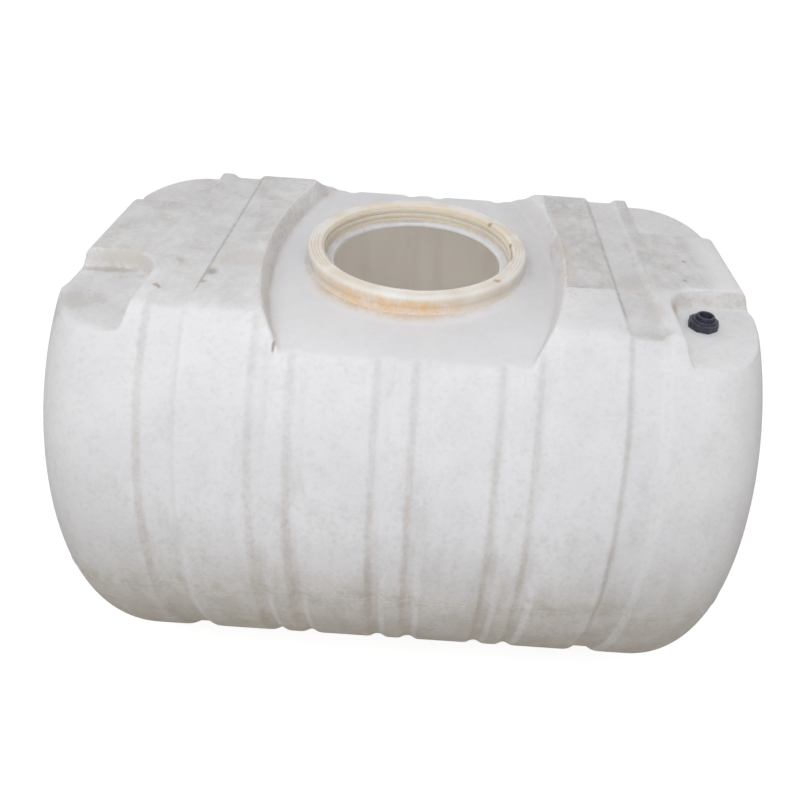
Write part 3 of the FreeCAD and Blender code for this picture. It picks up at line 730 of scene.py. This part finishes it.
finishSurface(tree, surface, colour, eased(tree, mottle, 0.3, 0.7, 0.42, 0.6), times(tree, mottle, 0.0008), 0.6)

# dark slate plastic, dull with dust on its upper faces
slate, tree, surface = newMaterial("slatePlastic")
_, _, nz = facing(tree)
patch = grain(tree, placeOf(tree), 160, detail=5, roughness=0.65)
colour = paint(tree, "#272937", "#343641", eased(tree, patch, 0.35, 0.7))
dust = times(tree, eased(tree, nz, 0.5, 0.95), eased(tree, patch, 0.45, 0.75), 0.35)
colour = paint(tree, colour, "#5A5A62", dust)
finishSurface(tree, surface, colour, eased(tree, patch, 0.3, 0.7, 0.38, 0.55), times(tree, patch, 0.0003), 0.5)

# black rubber, matt
rubber, tree, surface = newMaterial("rubber")
patch = grain(tree, placeOf(tree), 220)
colour = paint(tree, "#17171A", "#26262A", patch)
finishSurface(tree, surface, colour, eased(tree, patch, 0.3, 0.7, 0.72, 0.85), times(tree, patch, 0.0002), 0.5)


def wear(piece, material):
    piece.data.materials.clear()
    piece.data.materials.append(material)


for piece, material in ((bead, moulded), (manholeRing, cream), (inletBody, slate), (nut, slate)):
    wear(piece, material)
skin.data.materials[0] = moulded
skin.data.materials[1] = lining
wear(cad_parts["inlet_gasket"], rubber)
print("materials set")

# camera
view = {"place": (0.0458, -1.3385, 1.5540), "turn": (50.4561, -3.1169, 2.3829), "lens": 31.3652, "sensor": 36,
        "shift": (-0.0366, 0.0222)}
camera = bpy.data.objects.new("camera", bpy.data.cameras.new("camera"))
scene.collection.objects.link(camera)
camera.location = view["place"]
camera.rotation_euler = [math.radians(a) for a in view["turn"]]
camera.data.lens = view["lens"]
camera.data.sensor_width = view["sensor"]
camera.data.shift_x, camera.data.shift_y = view["shift"]
scene.camera = camera

# studio: white to the eye, softer as light
studio = {"skyLight": 0.66, "keySize": 2.4, "keyEnergy": 62, "keyColour": (0.94, 0.97, 1.0),
          "keyPlace": (-0.45, -2.2, 3.1), "keyAim": (0.0, -0.1, 0.7)}
world = bpy.data.worlds.new("studio")
scene.world = world
world.use_nodes = True
tree = world.node_tree
rays = addNode(tree, "LightPath").outputs
seen = rays["Is Camera Ray"]
for kind in ("Is Glossy Ray", "Is Transmission Ray"):
    seen = maths(tree, "MAXIMUM", seen, rays[kind])
sky = tree.nodes["Background"]
sky.inputs["Color"].default_value = (1, 1, 1, 1)
tree.links.new(eased(tree, seen, 0.0, 1.0, studio["skyLight"], 1.0), sky.inputs["Strength"])

key = bpy.data.objects.new("key", bpy.data.lights.new("key", "AREA"))
scene.collection.objects.link(key)
key.data.shape = "DISK"
key.data.size = studio["keySize"]
key.data.energy = studio["keyEnergy"]
key.data.color = studio["keyColour"]
key.location = studio["keyPlace"]
key.rotation_euler = (Vector(studio["keyAim"]) - key.location).to_track_quat("-Z", "Y").to_euler()

# pale floor: white to the eye apart from the shadow
sheet = {"size": 40, "bounce": (0.50, 0.50, 0.50, 1), "seen": (0.36, 0.36, 0.36, 1), "glow": 0.79}
paper, tree, surface = newMaterial("paper")
tree.nodes.remove(surface)
rays = addNode(tree, "LightPath").outputs
plain = addNode(tree, "BsdfDiffuse", {"Color": sheet["bounce"]})
thin = addNode(tree, "BsdfDiffuse", {"Color": sheet["seen"]})
glow = addNode(tree, "Emission", {"Color": (1, 1, 1, 1), "Strength": sheet["glow"]})
bright = addNode(tree, "AddShader", {0: thin.outputs[0], 1: glow.outputs[0]})
mixed = addNode(tree, "MixShader", {0: rays["Is Camera Ray"], 1: plain.outputs[0], 2: bright.outputs[0]})
tree.links.new(mixed.outputs[0], tree.nodes["Material Output"].inputs["Surface"])
deselectAll()
bpy.ops.mesh.primitive_plane_add(size=sheet["size"])
floor = named("studioFloor")
wear(floor, paper)
